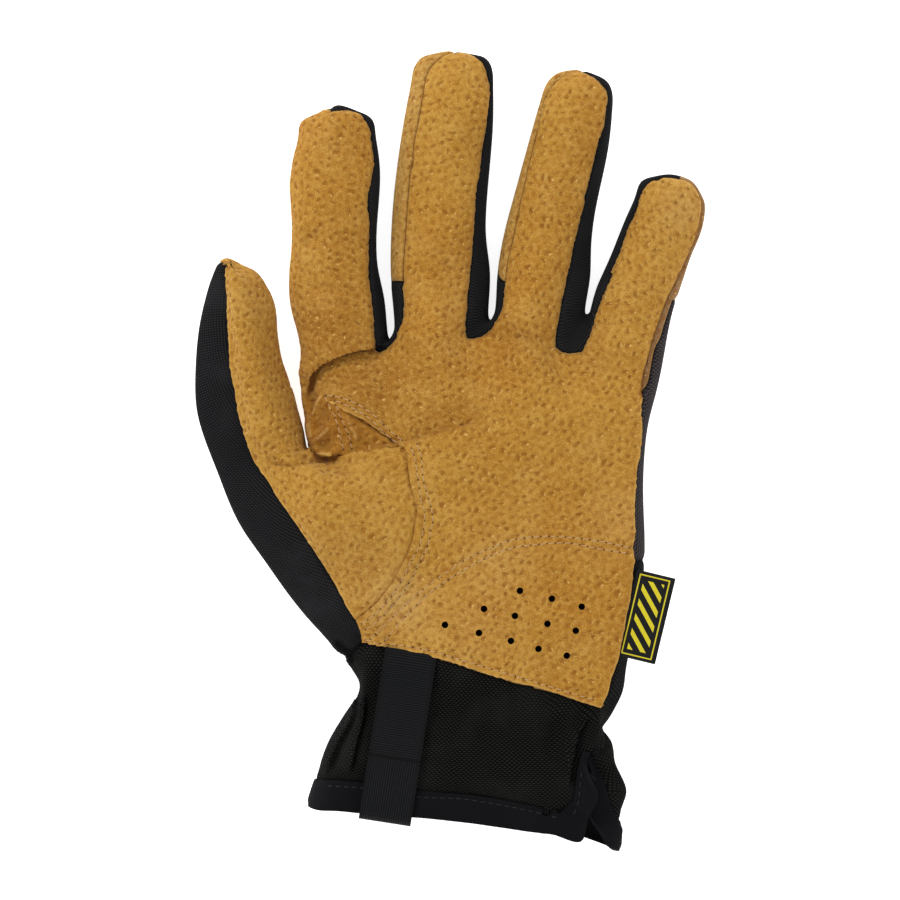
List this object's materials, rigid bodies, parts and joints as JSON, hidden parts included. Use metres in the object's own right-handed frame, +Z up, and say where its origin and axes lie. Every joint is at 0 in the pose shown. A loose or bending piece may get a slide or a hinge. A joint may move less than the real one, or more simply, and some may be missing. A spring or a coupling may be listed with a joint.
{
  "type": "mechanic glove",
  "caption": "Left-hand work glove with perforated suede palm, stretch fourchettes, gathered knit cuff with bound slit, pull loop and side tab, lying palm up.",
  "frame": {"origin": "middle of the glove's footprint on the surface it lies on", "axes": "+Y from the cuff to the fingertips, +Z up out of the palm, +X towards the little finger"},
  "size_m": [0.1582, 0.2476, 0.0358],
  "materials": {
    "suede_leather": "matt suede nap with small dimples",
    "side_leather": "matt suede nap",
    "brown_leather": "matt, worn brown",
    "stretch_fabric": "fine ribbed stretch knit",
    "back_fabric": "fine corded stretch fabric",
    "woven_fabric": "close woven diamond weave",
    "cuff_knit": "knit, matt",
    "binding_fabric": "smooth folded binding",
    "webbing": "ribbed webbing, slight sheen",
    "label_fabric": "satin woven tab with a yellow border"
  },
  "bodies": {
    "root": {"palm_panel": "suede_leather", "thumb_panel": "suede_leather", "thumb_gusset": "suede_leather", "middle_side_strip": "side_leather", "ring_side_strip": "side_leather", "pinky_side_strip": "brown_leather", "fourchette_index_middle": "stretch_fabric", "fourchette_middle_ring": "stretch_fabric", "fourchette_ring_pinky": "stretch_fabric", "hand_back": "back_fabric", "thumb_back": "woven_fabric", "cuff": "cuff_knit", "cuff_binding": "binding_fabric", "pull_loop": "webbing", "side_label": "label_fabric"}
  },
  "joints": []
}
